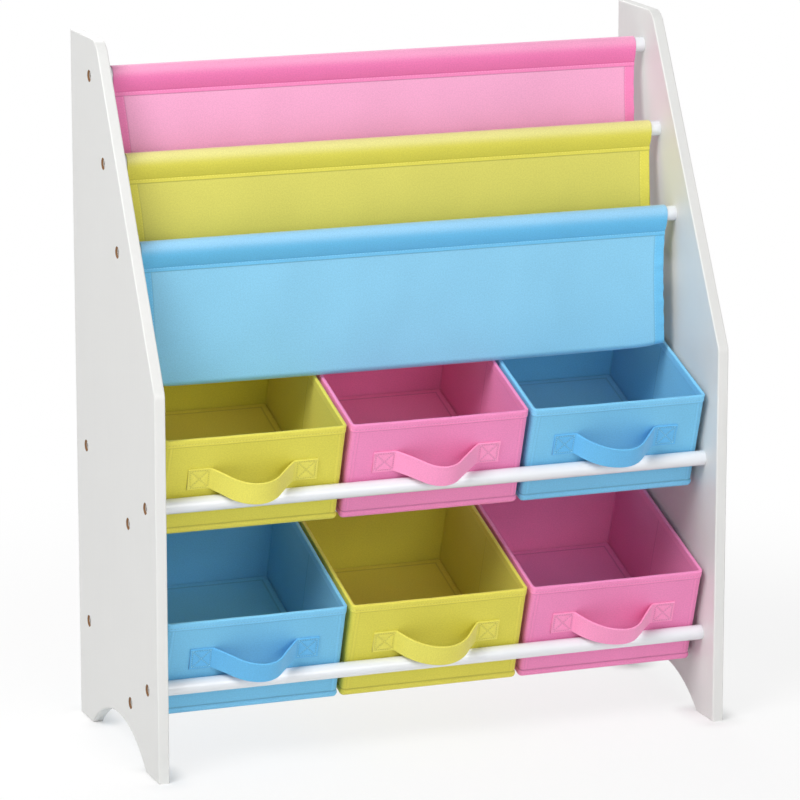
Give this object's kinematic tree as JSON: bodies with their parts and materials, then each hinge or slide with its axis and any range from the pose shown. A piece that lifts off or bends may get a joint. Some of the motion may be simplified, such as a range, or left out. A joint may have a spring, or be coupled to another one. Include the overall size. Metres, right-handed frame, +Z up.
{
  "type": "children's bookshelf",
  "caption": "Free-standing bookshelf for children with sloping white side boards, hanging cloth book slings and tiers of tilted fabric boxes with loop handles.",
  "frame": {"origin": "on the floor, under the middle of the bookshelf", "axes": "+Z up, -Y to the front, +X to the right seen from the front"},
  "size_m": [0.632, 0.275, 0.74],
  "materials": {
    "white_board": "satin white lacquered fibreboard",
    "white_tube": "gloss white powder coat",
    "plug": "plain",
    "screw": "zinc plated",
    "cardboard": "plain board",
    "cloth_pink": "non-woven cloth",
    "webbing_pink": "woven webbing",
    "cloth_yellow": "non-woven cloth",
    "webbing_yellow": "woven webbing",
    "cloth_blue": "non-woven cloth",
    "webbing_blue": "woven webbing"
  },
  "bodies": {
    "frame": {"side_panel_left": "white_board", "side_panel_right": "white_board", "sling_rod_rear": "white_tube", "sling_rod_middle": "white_tube", "sling_rod_front": "white_tube", "upper_rear_rod": "white_tube", "upper_support_rod": "white_tube", "upper_front_rail": "white_tube", "lower_rear_rod": "white_tube", "lower_support_rod": "white_tube", "lower_front_rail": "white_tube", "rod_end_plugs_left": "plug", "rod_end_plugs_right": "plug", "screws_left": "screw", "screws_right": "screw", "sling_pink": "cloth_pink", "sling_yellow": "cloth_yellow", "sling_blue": "cloth_blue"},
    "box_lower_left": {"box_lower_left_cover": "cloth_blue", "box_lower_left_lining": "cloth_blue", "box_lower_left_wall_boards": "cardboard", "box_lower_left_base_board": "cardboard", "box_lower_left_handle": "webbing_blue"},
    "box_lower_middle": {"box_lower_middle_cover": "cloth_yellow", "box_lower_middle_lining": "cloth_yellow", "box_lower_middle_wall_boards": "cardboard", "box_lower_middle_base_board": "cardboard", "box_lower_middle_handle": "webbing_yellow"},
    "box_lower_right": {"box_lower_right_cover": "cloth_pink", "box_lower_right_lining": "cloth_pink", "box_lower_right_wall_boards": "cardboard", "box_lower_right_base_board": "cardboard", "box_lower_right_handle": "webbing_pink"},
    "box_upper_left": {"box_upper_left_cover": "cloth_yellow", "box_upper_left_lining": "cloth_yellow", "box_upper_left_wall_boards": "cardboard", "box_upper_left_base_board": "cardboard", "box_upper_left_handle": "webbing_yellow"},
    "box_upper_middle": {"box_upper_middle_cover": "cloth_pink", "box_upper_middle_lining": "cloth_pink", "box_upper_middle_wall_boards": "cardboard", "box_upper_middle_base_board": "cardboard", "box_upper_middle_handle": "webbing_pink"},
    "box_upper_right": {"box_upper_right_cover": "cloth_blue", "box_upper_right_lining": "cloth_blue", "box_upper_right_wall_boards": "cardboard", "box_upper_right_base_board": "cardboard", "box_upper_right_handle": "webbing_blue"}
  },
  "joints": [
    {"name": "box_lower_left_slide", "type": "slide", "parent": "frame", "child": "box_lower_left", "axis": [0, 0.9455, 0.3256], "range_m": [0, 0.3]},
    {"name": "box_lower_middle_slide", "type": "slide", "parent": "frame", "child": "box_lower_middle", "axis": [0, 0.9455, 0.3256], "range_m": [0, 0.3]},
    {"name": "box_lower_right_slide", "type": "slide", "parent": "frame", "child": "box_lower_right", "axis": [0, 0.9455, 0.3256], "range_m": [0, 0.3]},
    {"name": "box_upper_left_slide", "type": "slide", "parent": "frame", "child": "box_upper_left", "axis": [0, 0.9455, 0.3256], "range_m": [0, 0.3]},
    {"name": "box_upper_middle_slide", "type": "slide", "parent": "frame", "child": "box_upper_middle", "axis": [0, 0.9455, 0.3256], "range_m": [0, 0.3]},
    {"name": "box_upper_right_slide", "type": "slide", "parent": "frame", "child": "box_upper_right", "axis": [0, 0.9455, 0.3256], "range_m": [0, 0.3]}
  ]
}
